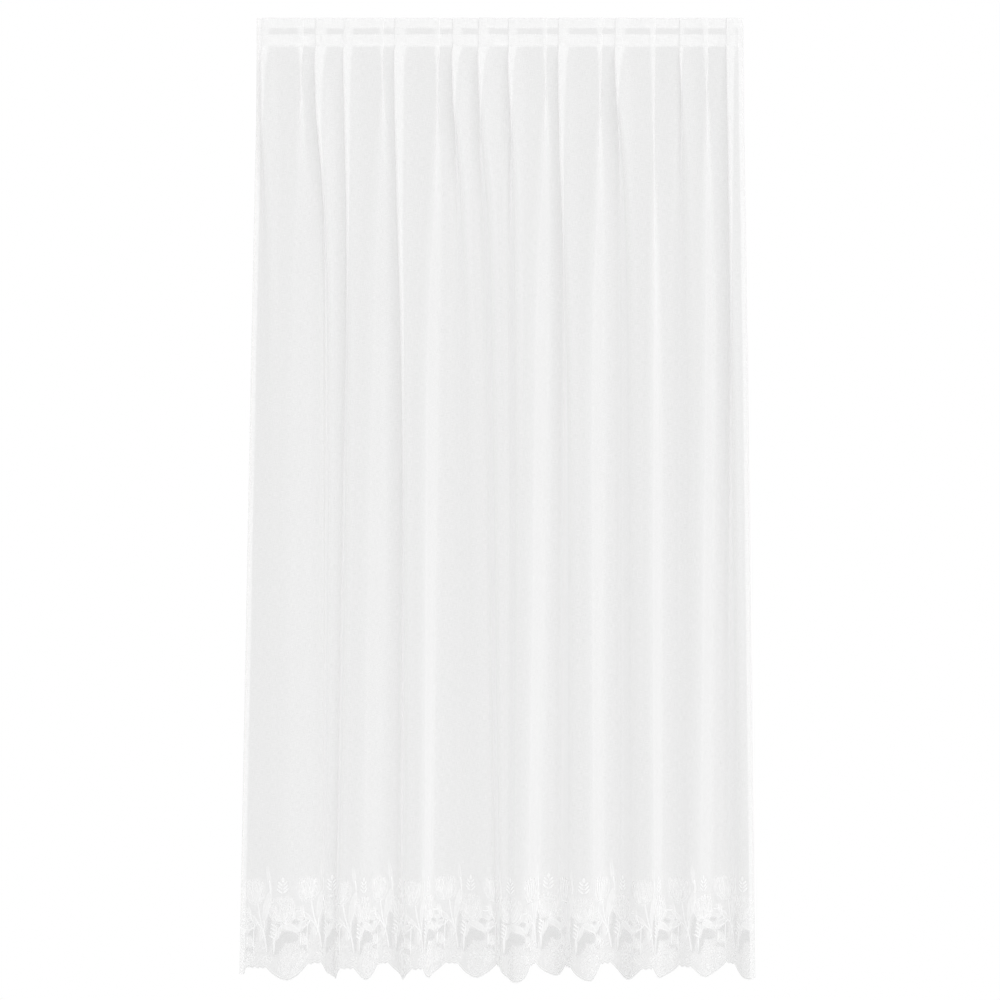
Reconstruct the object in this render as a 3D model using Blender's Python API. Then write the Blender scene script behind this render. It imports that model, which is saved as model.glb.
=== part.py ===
"""Lace curtain, hanging: one lace panel, gathered by tucks laid flat along its heading,
and the heading tape sewn on its back.

The panel is one sheet. Seen from above, each height of it is a plan curve: the cloth runs
to the viewer's right, and every fold turns it by an angle and back again. At the heading
that angle is a half turn, so a fold is a tuck with three layers. Further down the angle
falls, the turns widen and the folds swing from front to back.

Metres, +Z up, +X to the viewer's right, the viewer at -Y. The origin is the middle of the
heading's top edge.
"""
import bpy
import numpy as np

# Sizes of the cloth
FLAT_WIDTH = 1.950          # thirteen repeats of the border
DROP_TO_CUSPS = 2.400       # top edge to the points between the scallops
CLOTH_THICK = 0.0010
HEADING = 0.072             # height over which the tucks are held flat
TURN_AT_TOP = 0.0040        # length of cloth in one turn of a tuck
TOP_LEFT = -0.617           # the panel's side edges at the heading
TOP_RIGHT = 0.617

# Scalloped lower edge, measured along the flat cloth
REPEAT = 0.150
FIRST_CUSP = 0.042          # the first point between two scallops, from the left edge
SCALLOP_START = 0.032       # the large scallop begins this far after a cusp
SCALLOP_DEEP = 0.036
SCALLOP_POWER = 1.8         # how round the scallop's bottom is
RIPPLE_LONG = 0.016         # the small waves between a cusp and the large scallop
RIPPLE_DEEP = 0.004
SIDE_HEM = 0.013
SIDE_HEM_FOOT = 0.020       # how far the left side hem reaches below the cusps

# Folds, left to right. Lengths are millimetres.
#   top_x     middle of the tuck at the heading
#   overlap   width in which the tuck has three layers
#   way       1 where the fold takes the cloth back, -1 where it brings it forward
#   closed    how far down the tuck stays nearly shut
#   hem_u     flat place, at the hem, of the stretch that follows the fold
#   hem_x     where that stretch hangs at the hem
#   hem_y     how far behind the middle it hangs there
#   drift     how far the stretch leans to the right at DRIFT_HEIGHT
COLUMNS = ("top_x", "overlap", "way", "closed", "hem_u", "hem_x", "hem_y", "drift")
FOLDS = (
    (-594, 18, -1, 400, 100, -567, -30, 3),
    (-505, 12, 1, 240, 225, -460, 24, 8),
    (-453, 31, -1, 400, 253, -440, 8, 10),
    (-384, 24, -1, 900, 350, -396, -36, 8),
    (-300, 7, 1, 240, 541, -273, 22, 8),
    (-252, 33, -1, 900, 640, -222, -45, 0),
    (-159, 11, 1, 360, 780, -150, 25, 0),
    (-108, 25, -1, 300, 930, -20, 5, 2),
    (-41, 28, -1, 300, 1000, 12, -30, 6),
    (33, 23, -1, 400, 1030, 36, -46, 4),
    (114, 7, 1, 240, 1160, 117, 36, 4),
    (162, 30, -1, 700, 1312, 208, -36, 0),
    (253, 11, 1, 320, 1425, 282, 26, 0),
    (305, 28, -1, 300, 1545, 360, -42, 3),
    (387, 11, 1, 600, 1665, 430, 12, 6),
    (461, 10, -1, 400, 1725, 478, -20, 10),
    (521, 10, 1, 240, 1815, 550, 33, 8),
    (586, 27, -1, 1400, 1950, 645, -10, 2),
)
HEM_LEFT = -0.658           # the left side edge at the hem
HEM_LEFT_Y = -0.020
DRIFT_HEIGHT = 0.80
SPREAD_FROM = 0.25          # the panel keeps the heading's width down to here
SWING_OVER = 0.40           # the folds reach most of their depth in this height
OPEN_SHARE = 0.98           # share of its stretch of cloth that an open fold takes
OPEN_TURN = 0.35            # share of an open fold that each of its two turns takes
TURN_FITS = 0.47            # a turn never uses more than this share of a fold's slack
QUICK_SHARE = 0.20          # how far a tuck whose front edge faces left opens at once
QUICK_OVER = 0.030          # the height in which it does so
MOST_HELD = 0.80            # at most this share of a fold's width keeps its depth
LEAST_LEAD = 0.10           # at least this share of the plain cloth lies on each side

# Heading tape
TAPE_LONG = 1.212
TAPE_WIDE = 0.031
TAPE_THICK = 0.0012
TAPE_TOP = -0.040           # its upper edge, below the panel's top edge
TAPE_FRONT = 0.0046         # its front face, just behind the tucks' rear layers

# How finely the panel is cut up
SEGMENTS = (1, 4, 2, 4, 1)  # of a fold: lead, turn, middle, turn, lead
SUBSTEPS = 8
ROWS = (0.0, HEADING, 0.115, 0.18, 0.29, 0.46, 0.72, 1.08, 1.50, 1.92, 2.24, 2.37)


def column(name):
    """One column of the table of folds, in the table's own order."""
    return np.array([row[COLUMNS.index(name)] for row in FOLDS], dtype=float)


def turn_shape(x):
    """How much of its angle a turn has reached at x, from 0 to 1."""
    return np.sin(np.pi * x / 2)


def middles(count):
    """The middles of `count` equal steps from 0 to 1."""
    return (np.arange(count) + 0.5) / count


def turn_slack(angle):
    """The mean of 1 - cos along a turn, which is the width lost per length of it."""
    steps = turn_shape(middles(SEGMENTS[1] * SUBSTEPS))
    return np.mean(1.0 - np.cos(angle[..., None] * steps), axis=-1)


def tucks_at_top():
    """Each tuck's slack at the heading, and its flat place. The overlaps are scaled
    together so that the slack adds up to flat width less hung width."""
    overlap = column("overlap") / 1000
    turns = 2.0 * TURN_AT_TOP * turn_slack(np.array([np.pi]))[0]
    spare = FLAT_WIDTH - (TOP_RIGHT - TOP_LEFT) - turns * len(FOLDS)
    slack = overlap * spare / overlap.sum() + turns
    hidden_before = np.cumsum(slack) - slack / 2
    return slack, column("top_x") / 1000 - TOP_LEFT + hidden_before


def levels_at_top():
    """Flat place and x, at the heading, of the cloth midway between tucks."""
    slack, place = tucks_at_top()
    top_u = (place[:-1] + place[1:]) / 2
    top_x = column("top_x")[:-1] / 1000 + top_u - place[:-1] - slack[:-1] / 2
    return (np.concatenate(([0.0], top_u, [FLAT_WIDTH])),
            np.concatenate(([TOP_LEFT], top_x, [TOP_RIGHT])))


def spread_at(height):
    """How far the cloth has spread: 0 near the heading and 1 at the hem."""
    down = np.asarray(height, dtype=float)[:, None]
    return np.clip((down - SPREAD_FROM) / (DROP_TO_CUSPS - SPREAD_FROM), 0.0, 1.1)


def stretches(height):
    """Flat place, x and y of the cloth between folds: a straight blend from the heading
    to the hem, plus a lean that rises and dies away."""
    top_u, top_x = levels_at_top()
    hem_u = np.concatenate(([0.0], column("hem_u") / 1000))
    hem_x = np.concatenate(([HEM_LEFT], column("hem_x") / 1000))
    hem_y = np.concatenate(([HEM_LEFT_Y], column("hem_y") / 1000))
    drift = np.concatenate(([0.0], column("drift") / 1000))
    spread = spread_at(height)
    below = np.clip(np.asarray(height, dtype=float)[:, None] - HEADING, 0.0, None)
    swing = 1.0 - np.exp(-below / SWING_OVER)
    lean = (below / DRIFT_HEIGHT) * np.exp(1.0 - below / DRIFT_HEIGHT)
    flat = top_u + (hem_u - top_u) * spread
    return flat, top_x + (hem_x - top_x) * spread + drift * lean, hem_y * swing


def how_open(height):
    """0 for a tuck laid flat and 1 for an open fold. Tucks whose front edge faces left
    open part of the way at once, and the rest of it slowly."""
    below = np.clip(np.asarray(height)[:, None] - HEADING, 0.0, None)
    quick = QUICK_SHARE * (column("way") < 0)
    slow = 1.0 - np.exp(-below / (column("closed") / 1000 / 2))
    return quick * (1.0 - np.exp(-below / QUICK_OVER)) + (1.0 - quick) * slow


def fold_shapes(height, flat, x):
    """Angle, turn length and middle length of each fold. The angle runs from a half turn
    to the one at which an open fold loses just its slack."""
    long = np.diff(flat, axis=1)
    slack = long - np.diff(x, axis=1)
    trial = np.linspace(0.02, np.pi, 400)
    lost = 2 * OPEN_TURN * turn_slack(trial) + (1 - 2 * OPEN_TURN) * (1 - np.cos(trial))
    open_angle = np.interp(slack / (OPEN_SHARE * long), lost, trial)
    opened = how_open(height)
    angle = np.pi + (open_angle - np.pi) * opened
    turn = TURN_AT_TOP + (OPEN_TURN * OPEN_SHARE * long - TURN_AT_TOP) * opened
    turn = np.minimum(turn, TURN_FITS * slack / turn_slack(angle))
    middle = (slack - 2 * turn * turn_slack(angle)) / (1 - np.cos(angle))
    return angle, turn, middle


def lead_in(height, wide, shapes):
    """Plain cloth before each fold's turns, where the fold is `wide` across. Near the
    heading it puts the tuck in its place, and a front edge that faces left hangs straight
    down from there. Near the hem it is half of the plain cloth."""
    angle, turn, middle = shapes
    top_middle = tucks_at_top()[0] / 2 - TURN_AT_TOP * turn_slack(np.array([np.pi]))[0]
    across = 2 * turn * (1 - turn_slack(angle)) + middle * np.cos(angle)
    shift = (column("way") < 0) * (top_middle + middle * np.cos(angle)) / 2
    tuck = column("top_x") / 1000 - levels_at_top()[1][:-1] - shift
    centre = tuck + (wide / 2 - tuck) * np.minimum(spread_at(height), 1.0)
    plain = wide - across
    return np.clip(centre - across / 2, LEAST_LEAD * plain, (1 - LEAST_LEAD) * plain)


def fold_run(way, lengths, angle):
    """Flat steps and angles along a fold: lead, turn in, middle, turn out, lead."""
    steps, angles = [], []
    for part, length in enumerate(lengths):
        along = middles(SEGMENTS[part] * SUBSTEPS)
        share = (0 * along, turn_shape(along), 0 * along + 1, turn_shape(1 - along),
                 0 * along)[part]
        steps.append(length / len(along) + 0 * along)
        angles.append(way * angle * share)
    return np.concatenate(steps, axis=1), np.concatenate(angles, axis=1)


def plan_curves(height):
    """Flat place u, x, y and forward normal along each height. x is the running sum of
    cos(angle) and y that of sin(angle), then y is eased to the table's depths: on the
    right of a tuck that comes forward, and on the left of one that goes back."""
    flat, level_x, level_y = stretches(height)
    shapes = fold_shapes(height, flat, level_x)
    wide = np.diff(level_x, axis=1)
    before = lead_in(height, wide, shapes)
    after = np.diff(flat, axis=1) - before - 2 * shapes[1] - shapes[2]
    held = np.where(column("way") < 0, before, after) / wide
    held = np.clip((1.0 - how_open(height)) * held, 0.0, MOST_HELD)
    u, x, y = [flat[:, :1]], [level_x[:, :1]], [level_y[:, :1]]
    for k, way in enumerate(column("way")):
        angle, turn, middle = (part[:, k, None] for part in shapes)
        lengths = (before[:, k, None], turn, middle, turn, after[:, k, None])
        steps, angles = fold_run(way, lengths, angle)
        run_x = np.cumsum(steps * np.cos(angles), axis=1)
        run_y = np.cumsum(steps * np.sin(angles), axis=1)
        part_way = run_x / run_x[:, -1:] - held[:, k, None] * (way < 0)
        part_way = np.clip(part_way / (1.0 - held[:, k, None]), 0.0, 1.0)
        smooth = part_way ** 2 * (3 - 2 * part_way)
        miss = level_y[:, k + 1, None] - level_y[:, k, None] - run_y[:, -1:]
        u.append(flat[:, k, None] + np.cumsum(steps, axis=1))
        x.append(level_x[:, k, None] + run_x)
        y.append(level_y[:, k, None] + run_y + miss * smooth)
    u, x, y = (np.concatenate(part, axis=1) for part in (u, x, y))
    dx, dy = np.gradient(x, axis=1), np.gradient(y, axis=1)
    size = np.hypot(dx, dy)
    return u, x, y, dy / size, -dx / size


def lower_edge(u):
    """Depth of the lower edge at the flat place u: ripples, then one round scallop."""
    after = np.mod(u - FIRST_CUSP, REPEAT)
    half = (REPEAT - SCALLOP_START) / 2
    off_middle = np.clip(np.abs(after - SCALLOP_START - half) / half, 0.0, 1.0)
    scallop = SCALLOP_DEEP * (1.0 - off_middle ** SCALLOP_POWER)
    ripple = RIPPLE_DEEP * np.abs(np.sin(np.pi * after / RIPPLE_LONG))
    edge = np.where(after < SCALLOP_START, ripple, np.maximum(scallop, 0.0))
    before_first = RIPPLE_DEEP * np.abs(np.sin(np.pi * (u - FIRST_CUSP) / RIPPLE_LONG))
    edge = np.where(u < FIRST_CUSP, before_first, edge)
    edge = np.where(u < SIDE_HEM, SIDE_HEM_FOOT, edge)
    return DROP_TO_CUSPS + edge


def sheet_faces(rows, columns):
    """Quads of a closed sheet: its front grid, its back grid and the rim round both."""
    index = np.arange(rows * columns).reshape(rows, columns)
    a, b = index[:-1, :-1].ravel(), index[:-1, 1:].ravel()
    c, d = index[1:, 1:].ravel(), index[1:, :-1].ravel()
    behind = rows * columns
    front = np.stack((a, d, c, b), axis=1)
    back = np.stack((a, b, c, d), axis=1) + behind
    rim = np.concatenate((index[0, :], index[1:, -1], index[-1, -2::-1], index[-2:0:-1, 0]))
    after = np.roll(rim, -1)
    edge = np.stack((rim, after, after + behind, rim + behind), axis=1)
    return np.concatenate((front, back, edge))


def make_object(name, points, faces, material):
    """A mesh object from arrays of points and quads."""
    mesh = bpy.data.meshes.new(name)
    mesh.from_pydata([tuple(p) for p in points], [], [tuple(int(i) for i in f) for f in faces])
    mesh.validate()
    mesh.update()
    thing = bpy.data.objects.new(name, mesh)
    thing.data.materials.append(material)
    bpy.context.collection.objects.link(thing)
    return thing


def cloth_material(name, color, roughness):
    """A plain principled material."""
    material = bpy.data.materials.new(name)
    material.use_nodes = True
    shader = material.node_tree.nodes["Principled BSDF"]
    shader.inputs["Base Color"].default_value = (*color, 1.0)
    shader.inputs["Roughness"].default_value = roughness
    shader.inputs["Metallic"].default_value = 0.0
    return material


def build_panel(parent):
    """The lace panel, from its heading to its scalloped edge."""
    height = np.array(ROWS + (DROP_TO_CUSPS,))
    u, x, y, normal_x, normal_y = (part[:, ::SUBSTEPS] for part in plan_curves(height))
    z = -np.repeat(height[:, None], u.shape[1], axis=1)
    z[-1] = -lower_edge(u[-1])
    half = CLOTH_THICK / 2
    front = np.stack((x + half * normal_x, y + half * normal_y, z), axis=-1)
    back = np.stack((x - half * normal_x, y - half * normal_y, z), axis=-1)
    points = np.concatenate((front.reshape(-1, 3), back.reshape(-1, 3)))
    lace = cloth_material("lace_white", (0.86, 0.86, 0.86), 0.85)
    panel = make_object("lace_panel", points, sheet_faces(*u.shape), lace)
    panel.parent = parent


def build_tape(parent):
    """The heading tape, a straight strip behind the tucks."""
    across = np.array((-TAPE_LONG / 2, TAPE_LONG / 2))
    z = np.array((TAPE_TOP, TAPE_TOP - TAPE_WIDE))
    x, z = np.meshgrid(across, z)
    front = np.stack((x, np.full_like(x, TAPE_FRONT), z), axis=-1).reshape(-1, 3)
    back = front + (0.0, TAPE_THICK, 0.0)
    white = cloth_material("tape_white", (0.90, 0.90, 0.89), 0.75)
    tape = make_object("heading_tape", np.concatenate((front, back)), sheet_faces(2, 2), white)
    tape.parent = parent


def build():
    """Clears the scene and builds the curtain."""
    for thing in list(bpy.data.objects):
        bpy.data.objects.remove(thing, do_unlink=True)
    curtain = bpy.data.objects.new("curtain", None)
    bpy.context.collection.objects.link(curtain)
    build_panel(curtain)
    build_tape(curtain)


build()
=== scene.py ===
# %% [markdown]
# # A sheer lace curtain, hanging
# One width of white voile hangs from a heading whose tucks are laid flat and held by a
# tape sewn on the back. Its lower border is woven with tulips, roses, leaves and patches
# of open net, and ends in round scallops. The solid model gives the place and size of
# the cloth. This script gives it its weave, its border and its sheerness.

# %% Load the solid model
import bpy
import numpy as np
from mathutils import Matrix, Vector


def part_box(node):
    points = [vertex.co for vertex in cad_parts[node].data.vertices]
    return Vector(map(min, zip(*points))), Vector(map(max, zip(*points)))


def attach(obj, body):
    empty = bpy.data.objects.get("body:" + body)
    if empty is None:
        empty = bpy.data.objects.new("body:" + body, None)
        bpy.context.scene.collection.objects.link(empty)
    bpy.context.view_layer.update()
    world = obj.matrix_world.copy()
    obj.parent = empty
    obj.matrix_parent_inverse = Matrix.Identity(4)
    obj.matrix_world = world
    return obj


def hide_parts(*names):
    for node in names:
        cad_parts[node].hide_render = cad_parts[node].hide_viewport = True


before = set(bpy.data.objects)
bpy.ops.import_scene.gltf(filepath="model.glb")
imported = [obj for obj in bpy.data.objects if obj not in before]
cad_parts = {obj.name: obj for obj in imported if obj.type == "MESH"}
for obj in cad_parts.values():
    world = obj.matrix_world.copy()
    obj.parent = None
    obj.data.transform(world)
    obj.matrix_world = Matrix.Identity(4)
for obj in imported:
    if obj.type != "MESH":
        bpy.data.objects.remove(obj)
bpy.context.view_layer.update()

tape_low, tape_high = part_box("heading_tape")

# %% [markdown]
# ## Sizes of the cloth
# A curtain is cut flat and then gathered, so every place on it has two addresses. One is
# on the flat cloth: u along its width and v down from its top edge. The other is in the
# room. The sizes here are those that the solid model was built from.

# %% Driving sizes, in metres
FLAT_WIDTH = 1.950
DROP_TO_CUSPS = 2.400       # from the top edge to the points between the scallops
HEADING = 0.072             # the height over which the tucks are held flat
TOP_LEFT, TOP_RIGHT = -0.617, 0.617
HEM_LEFT, HEM_LEFT_Y = -0.658, -0.020
TOP_HEM, SIDE_HEM = 0.026, 0.013
print("fullness at the heading:", round(FLAT_WIDTH / (TOP_RIGHT - TOP_LEFT), 2))

# %% Table of folds, in millimetres
# top_x and overlap place a tuck at the heading, and way is -1 where its front edge faces
# left. It is mostly open at `closed` below the heading. At the hem, the cloth just right
# of it is at hem_u on the flat cloth and at hem_x, hem_y in the room. Between the two it
# leans by drift.
COLUMNS = ("top_x", "overlap", "way", "closed", "hem_u", "hem_x", "hem_y", "drift")
FOLDS = (
    (-594, 18, -1, 400, 100, -567, -30, 3),
    (-505, 12, 1, 240, 225, -460, 24, 8),
    (-453, 31, -1, 400, 253, -440, 8, 10),
    (-384, 24, -1, 900, 350, -396, -36, 8),
    (-300, 7, 1, 240, 541, -273, 22, 8),
    (-252, 33, -1, 900, 640, -222, -45, 0),
    (-159, 11, 1, 360, 780, -150, 25, 0),
    (-108, 25, -1, 300, 930, -20, 5, 2),
    (-41, 28, -1, 300, 1000, 12, -30, 6),
    (33, 23, -1, 400, 1030, 36, -46, 4),
    (114, 7, 1, 240, 1160, 117, 36, 4),
    (162, 30, -1, 700, 1312, 208, -36, 0),
    (253, 11, 1, 320, 1425, 282, 26, 0),
    (305, 28, -1, 300, 1545, 360, -42, 3),
    (387, 11, 1, 600, 1665, 430, 12, 6),
    (461, 10, -1, 400, 1725, 478, -20, 10),
    (521, 10, 1, 240, 1815, 550, 33, 8),
    (586, 27, -1, 1400, 1950, 645, -10, 2),
)


def column(name):
    """One column of the table of folds."""
    return np.array([row[COLUMNS.index(name)] for row in FOLDS], dtype=float)


print(len(FOLDS), "folds")

# %% [markdown]
# ## How the cloth hangs
# Cloth that hangs free is straight from top to bottom, so each height of it can be drawn
# as a plan curve. A fold turns the cloth by an angle and back again. At the heading the
# angle is a half turn, which makes a flat tuck of three layers. Lower down the angle
# falls and the turns widen. A cloth simulation would also do this, but the angles let
# each fold be put where the real one is.

# %% A turn, and the width that is lost in it
SEGMENTS = (2, 9, 8, 9, 2)  # of a fold: lead, turn, middle, turn, lead
SUBSTEPS = 4                # finer steps in each segment, for the sums
TURN_AT_TOP = 0.0040        # length of cloth in each turn of a tuck


def turn_shape(x):
    """How much of its angle a turn has reached: a quarter of a sine wave."""
    return np.sin(np.pi * x / 2)


def middles(count):
    """The middles of `count` equal steps from 0 to 1."""
    return (np.arange(count) + 0.5) / count


def turn_slack(angle):
    """The mean of 1 - cos along a turn, which is the width lost per length of it."""
    steps = turn_shape(middles(SEGMENTS[1] * SUBSTEPS))
    return np.mean(1.0 - np.cos(angle[..., None] * steps), axis=-1)


HALF_TURN_SLACK = turn_slack(np.array([np.pi]))[0]
print("width lost for each metre of cloth in a half turn:", round(HALF_TURN_SLACK, 3))

# %% Tucks at the heading


def tucks_at_top():
    """Each tuck's slack at the heading, and its flat place. The overlaps are scaled
    together so that the slack adds up to flat width less hung width."""
    overlap = column("overlap") / 1000
    turns = 2.0 * TURN_AT_TOP * HALF_TURN_SLACK
    spare = FLAT_WIDTH - (TOP_RIGHT - TOP_LEFT) - turns * len(FOLDS)
    slack = overlap * spare / overlap.sum() + turns
    hidden_before = np.cumsum(slack) - slack / 2
    return slack, column("top_x") / 1000 - TOP_LEFT + hidden_before


def levels_at_top():
    """Flat place and x, at the heading, of the cloth midway between tucks."""
    slack, place = tucks_at_top()
    top_u = (place[:-1] + place[1:]) / 2
    top_x = column("top_x")[:-1] / 1000 + top_u - place[:-1] - slack[:-1] / 2
    return (np.concatenate(([0.0], top_u, [FLAT_WIDTH])),
            np.concatenate(([TOP_LEFT], top_x, [TOP_RIGHT])))


print("tucks lie on the flat cloth at", tucks_at_top()[1].round(3))

# %% Cloth between the folds
SPREAD_FROM = 0.25          # below here the cloth spreads towards its places at the hem
SWING_OVER = 0.40           # the height over which it comes forward or goes back
DRIFT_HEIGHT = 0.80         # how far below the heading its lean is greatest


def spread_at(height):
    """How far the cloth has spread: 0 near the heading and 1 at the hem."""
    down = np.asarray(height, dtype=float)[:, None]
    return np.clip((down - SPREAD_FROM) / (DROP_TO_CUSPS - SPREAD_FROM), 0.0, 1.0)


def stretches(height):
    """Flat place, x and y of the cloth between folds: a straight blend from the heading
    to the hem, plus a lean that rises and dies away."""
    top_u, top_x = levels_at_top()
    hem_u = np.concatenate(([0.0], column("hem_u") / 1000))
    hem_x = np.concatenate(([HEM_LEFT], column("hem_x") / 1000))
    hem_y = np.concatenate(([HEM_LEFT_Y], column("hem_y") / 1000))
    drift = np.concatenate(([0.0], column("drift") / 1000))
    spread = spread_at(height)
    below = np.clip(np.asarray(height, dtype=float)[:, None] - HEADING, 0.0, None)
    swing = 1.0 - np.exp(-below / SWING_OVER)
    lean = (below / DRIFT_HEIGHT) * np.exp(1.0 - below / DRIFT_HEIGHT)
    flat = top_u + (hem_u - top_u) * spread
    return flat, top_x + (hem_x - top_x) * spread + drift * lean, hem_y * swing


at_hem = np.array([DROP_TO_CUSPS])
print("x of the cloth between folds at the hem:", stretches(at_hem)[1].round(3))

# %% How far each fold has opened
QUICK_SHARE, QUICK_OVER = 0.20, 0.030       # of the opening, just below the heading


def how_open(height):
    """0 for a tuck laid flat and 1 for an open fold. Tucks whose front edge faces left
    open part of the way at once, and the rest of it slowly."""
    below = np.clip(np.asarray(height)[:, None] - HEADING, 0.0, None)
    quick = QUICK_SHARE * (column("way") < 0)
    slow = 1.0 - np.exp(-below / (column("closed") / 1000 / 2))
    return quick * (1.0 - np.exp(-below / QUICK_OVER)) + (1.0 - quick) * slow


print("how open the folds are half a metre down:", how_open([0.5])[0].round(2))

# %% The shape and place of a fold
OPEN_SHARE = 0.98           # of the cloth between two levels: what an open fold takes
OPEN_TURN = 0.35            # of that: what is in each of its two turns
TURN_FITS = 0.47            # of a fold's slack: the most that one turn takes up
LEAST_ANGLE, TRIALS = 0.02, 400             # of the search for an open fold's angle
LEAST_LEAD = 0.10           # of a fold's plain cloth: the least on either side of it


def fold_shapes(height, flat, x):
    """Angle, turn length and middle length of each fold. The angle runs from a half turn
    to the one at which an open fold loses just its slack."""
    long = np.diff(flat, axis=1)
    slack = long - np.diff(x, axis=1)
    trial = np.linspace(LEAST_ANGLE, np.pi, TRIALS)
    lost = 2 * OPEN_TURN * turn_slack(trial) + (1 - 2 * OPEN_TURN) * (1 - np.cos(trial))
    open_angle = np.interp(slack / (OPEN_SHARE * long), lost, trial)
    opened = how_open(height)
    angle = np.pi + (open_angle - np.pi) * opened
    turn = TURN_AT_TOP + (OPEN_TURN * OPEN_SHARE * long - TURN_AT_TOP) * opened
    turn = np.minimum(turn, TURN_FITS * slack / turn_slack(angle))
    middle = (slack - 2 * turn * turn_slack(angle)) / (1 - np.cos(angle))
    return angle, turn, middle


def lead_in(height, wide, shapes):
    """Plain cloth before each fold's turns, where the fold is `wide` across. Near the
    heading it puts the tuck in its place, and a front edge that faces left hangs straight
    down from there. Near the hem it is half of the plain cloth."""
    angle, turn, middle = shapes
    top_middle = tucks_at_top()[0] / 2 - TURN_AT_TOP * HALF_TURN_SLACK
    across = 2 * turn * (1 - turn_slack(angle)) + middle * np.cos(angle)
    shift = (column("way") < 0) * (top_middle + middle * np.cos(angle)) / 2
    tuck = column("top_x") / 1000 - levels_at_top()[1][:-1] - shift
    centre = tuck + (wide / 2 - tuck) * spread_at(height)
    plain = wide - across
    return np.clip(centre - across / 2, LEAST_LEAD * plain, (1 - LEAST_LEAD) * plain)


hem_shapes = fold_shapes(at_hem, *stretches(at_hem)[:2])
print("degrees that the folds turn at the hem:", np.degrees(hem_shapes[0][0]).round())

# %% Plan curves
MOST_HELD = 0.80            # of a fold's width: the most that keeps its own depth


def fold_run(way, lengths, angle):
    """Flat steps and angles along a fold: lead, turn in, middle, turn out, lead."""
    steps, angles = [], []
    for part, length in enumerate(lengths):
        along = middles(SEGMENTS[part] * SUBSTEPS)
        share = (0 * along, turn_shape(along), 0 * along + 1, turn_shape(1 - along),
                 0 * along)[part]
        steps.append(length / len(along) + 0 * along)
        angles.append(way * angle * share)
    return np.concatenate(steps, axis=1), np.concatenate(angles, axis=1)


def plan_curves(height):
    """Flat place u, x, y and forward normal along each height. x is the running sum of
    cos(angle) and y that of sin(angle), then y is eased to the table's depths: on the
    right of a tuck that comes forward, and on the left of one that goes back."""
    flat, level_x, level_y = stretches(height)
    shapes = fold_shapes(height, flat, level_x)
    wide = np.diff(level_x, axis=1)
    before = lead_in(height, wide, shapes)
    after = np.diff(flat, axis=1) - before - 2 * shapes[1] - shapes[2]
    held = np.where(column("way") < 0, before, after) / wide
    held = np.clip((1.0 - how_open(height)) * held, 0.0, MOST_HELD)
    u, x, y = [flat[:, :1]], [level_x[:, :1]], [level_y[:, :1]]
    for k, way in enumerate(column("way")):
        angle, turn, middle = (part[:, k, None] for part in shapes)
        lengths = (before[:, k, None], turn, middle, turn, after[:, k, None])
        steps, angles = fold_run(way, lengths, angle)
        run_x = np.cumsum(steps * np.cos(angles), axis=1)
        run_y = np.cumsum(steps * np.sin(angles), axis=1)
        part_way = run_x / run_x[:, -1:] - held[:, k, None] * (way < 0)
        part_way = np.clip(part_way / (1.0 - held[:, k, None]), 0.0, 1.0)
        smooth = part_way ** 2 * (3 - 2 * part_way)
        miss = level_y[:, k + 1, None] - level_y[:, k, None] - run_y[:, -1:]
        u.append(flat[:, k, None] + np.cumsum(steps, axis=1))
        x.append(level_x[:, k, None] + run_x)
        y.append(level_y[:, k, None] + run_y + miss * smooth)
    u, x, y = (np.concatenate(part, axis=1) for part in (u, x, y))
    dx, dy = np.gradient(x, axis=1), np.gradient(y, axis=1)
    size = np.hypot(dx, dy)
    return u, x, y, dy / size, -dx / size


print("points on one plan curve:", plan_curves(at_hem)[0].shape[1])

# %% [markdown]
# ## The lower edge, and the whole cloth
# The real edge runs in round scallops with small ripples between them. It could be cut
# out of a mesh, but that leaves ragged triangles. Here it is a depth for each place along
# the flat cloth, and the rows of points in the border are stretched to end on it. All the
# plan curves go into one table, in which any piece on the cloth looks up its place.

# %% The lower edge
REPEAT = 0.150              # of the border's pattern, along the flat cloth
FIRST_CUSP = 0.042
SCALLOP_START = 0.032       # the edge ripples this far after a cusp, then a scallop starts
SCALLOP_DEEP, SCALLOP_POWER = 0.036, 1.8
RIPPLE_LONG, RIPPLE_DEEP = 0.016, 0.004
SIDE_HEM_FOOT = 0.020       # how far below the cusps the left hem ends


def ripples(along):
    """Depth of the ripples: |sin| of the distance along the edge."""
    return RIPPLE_DEEP * np.abs(np.sin(np.pi * along / RIPPLE_LONG))


def lower_edge(u):
    """Depth of the lower edge at the flat place u: ripples, then one round scallop that
    is deep * (1 - |share of the way from its middle|^power)."""
    after = np.mod(u - FIRST_CUSP, REPEAT)
    half = (REPEAT - SCALLOP_START) / 2
    off_middle = np.clip(np.abs(after - SCALLOP_START - half) / half, 0.0, 1.0)
    scallop = SCALLOP_DEEP * (1.0 - off_middle ** SCALLOP_POWER)
    edge = np.where(after < SCALLOP_START, ripples(after), scallop)
    edge = np.where(u < FIRST_CUSP, ripples(u - FIRST_CUSP), edge)
    edge = np.where(u < SIDE_HEM, SIDE_HEM_FOOT, edge)
    return DROP_TO_CUSPS + edge


print("repeats of the border:", round(FLAT_WIDTH / REPEAT, 2))

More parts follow.
